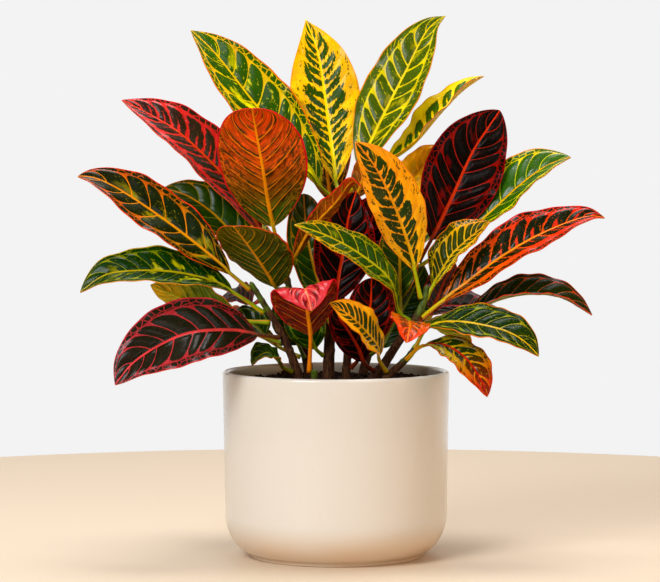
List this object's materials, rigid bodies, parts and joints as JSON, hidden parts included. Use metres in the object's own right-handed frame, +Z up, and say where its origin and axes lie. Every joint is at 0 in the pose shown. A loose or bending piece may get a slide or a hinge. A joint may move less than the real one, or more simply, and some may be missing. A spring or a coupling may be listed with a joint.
{
  "type": "potted croton",
  "caption": "Bushy house plant with long, waxy, many-coloured leaves on short woody stems, growing in a round glazed pot with a flat foot.",
  "frame": {"origin": "centre of the pot's flat foot, on its underside", "axes": "+Z up along the pot's axis, -Y towards the front from which the plant shows best, +X to the right of that view"},
  "size_m": [0.4152, 0.2402, 0.4346],
  "materials": {
    "cream_glaze": "gloss",
    "potting_soil": "matte",
    "stem_bark": "matte",
    "leaf_lime": "satin",
    "leaf_gold": "satin",
    "leaf_orange": "satin",
    "leaf_scarlet": "satin",
    "leaf_crimson": "satin",
    "leaf_night": "satin",
    "leaf_forest": "satin",
    "leaf_olive": "satin"
  },
  "bodies": {
    "root": {"pot": "cream_glaze", "soil": "potting_soil", "stem_1": "stem_bark", "stem_2": "stem_bark", "stem_3": "stem_bark", "stem_4": "stem_bark", "stem_5": "stem_bark", "stem_6": "stem_bark", "stem_7": "stem_bark", "stem_8": "stem_bark", "leaf_01": "leaf_lime", "leaf_02": "leaf_gold", "leaf_03": "leaf_lime", "leaf_04": "leaf_scarlet", "leaf_05": "leaf_gold", "leaf_06": "leaf_gold", "leaf_07": "leaf_olive", "leaf_08": "leaf_night", "leaf_09": "leaf_gold", "leaf_10": "leaf_lime", "leaf_11": "leaf_lime", "leaf_12": "leaf_orange", "leaf_13": "leaf_forest", "leaf_14": "leaf_lime", "leaf_15": "leaf_gold", "leaf_16": "leaf_crimson", "leaf_17": "leaf_forest", "leaf_18": "leaf_forest", "leaf_19": "leaf_lime", "leaf_20": "leaf_olive", "leaf_21": "leaf_night", "leaf_22": "leaf_olive", "leaf_23": "leaf_lime", "leaf_24": "leaf_night", "leaf_25": "leaf_night", "leaf_26": "leaf_forest", "leaf_27": "leaf_olive", "leaf_28": "leaf_scarlet", "leaf_29": "leaf_night", "leaf_30": "leaf_gold", "leaf_31": "leaf_orange", "leaf_32": "leaf_forest", "leaf_33": "leaf_night", "leaf_34": "leaf_crimson", "leaf_35": "leaf_forest", "leaf_36": "leaf_lime", "leaf_37": "leaf_orange", "leaf_38": "leaf_lime", "leaf_39": "leaf_crimson", "leaf_40": "leaf_forest", "leaf_41": "leaf_night", "leaf_42": "leaf_gold", "leaf_43": "leaf_lime", "leaf_44": "leaf_orange", "leaf_45": "leaf_crimson", "leaf_46": "leaf_forest", "leaf_47": "leaf_forest", "leaf_48": "leaf_night", "leaf_49": "leaf_forest", "leaf_50": "leaf_forest"}
  },
  "joints": []
}
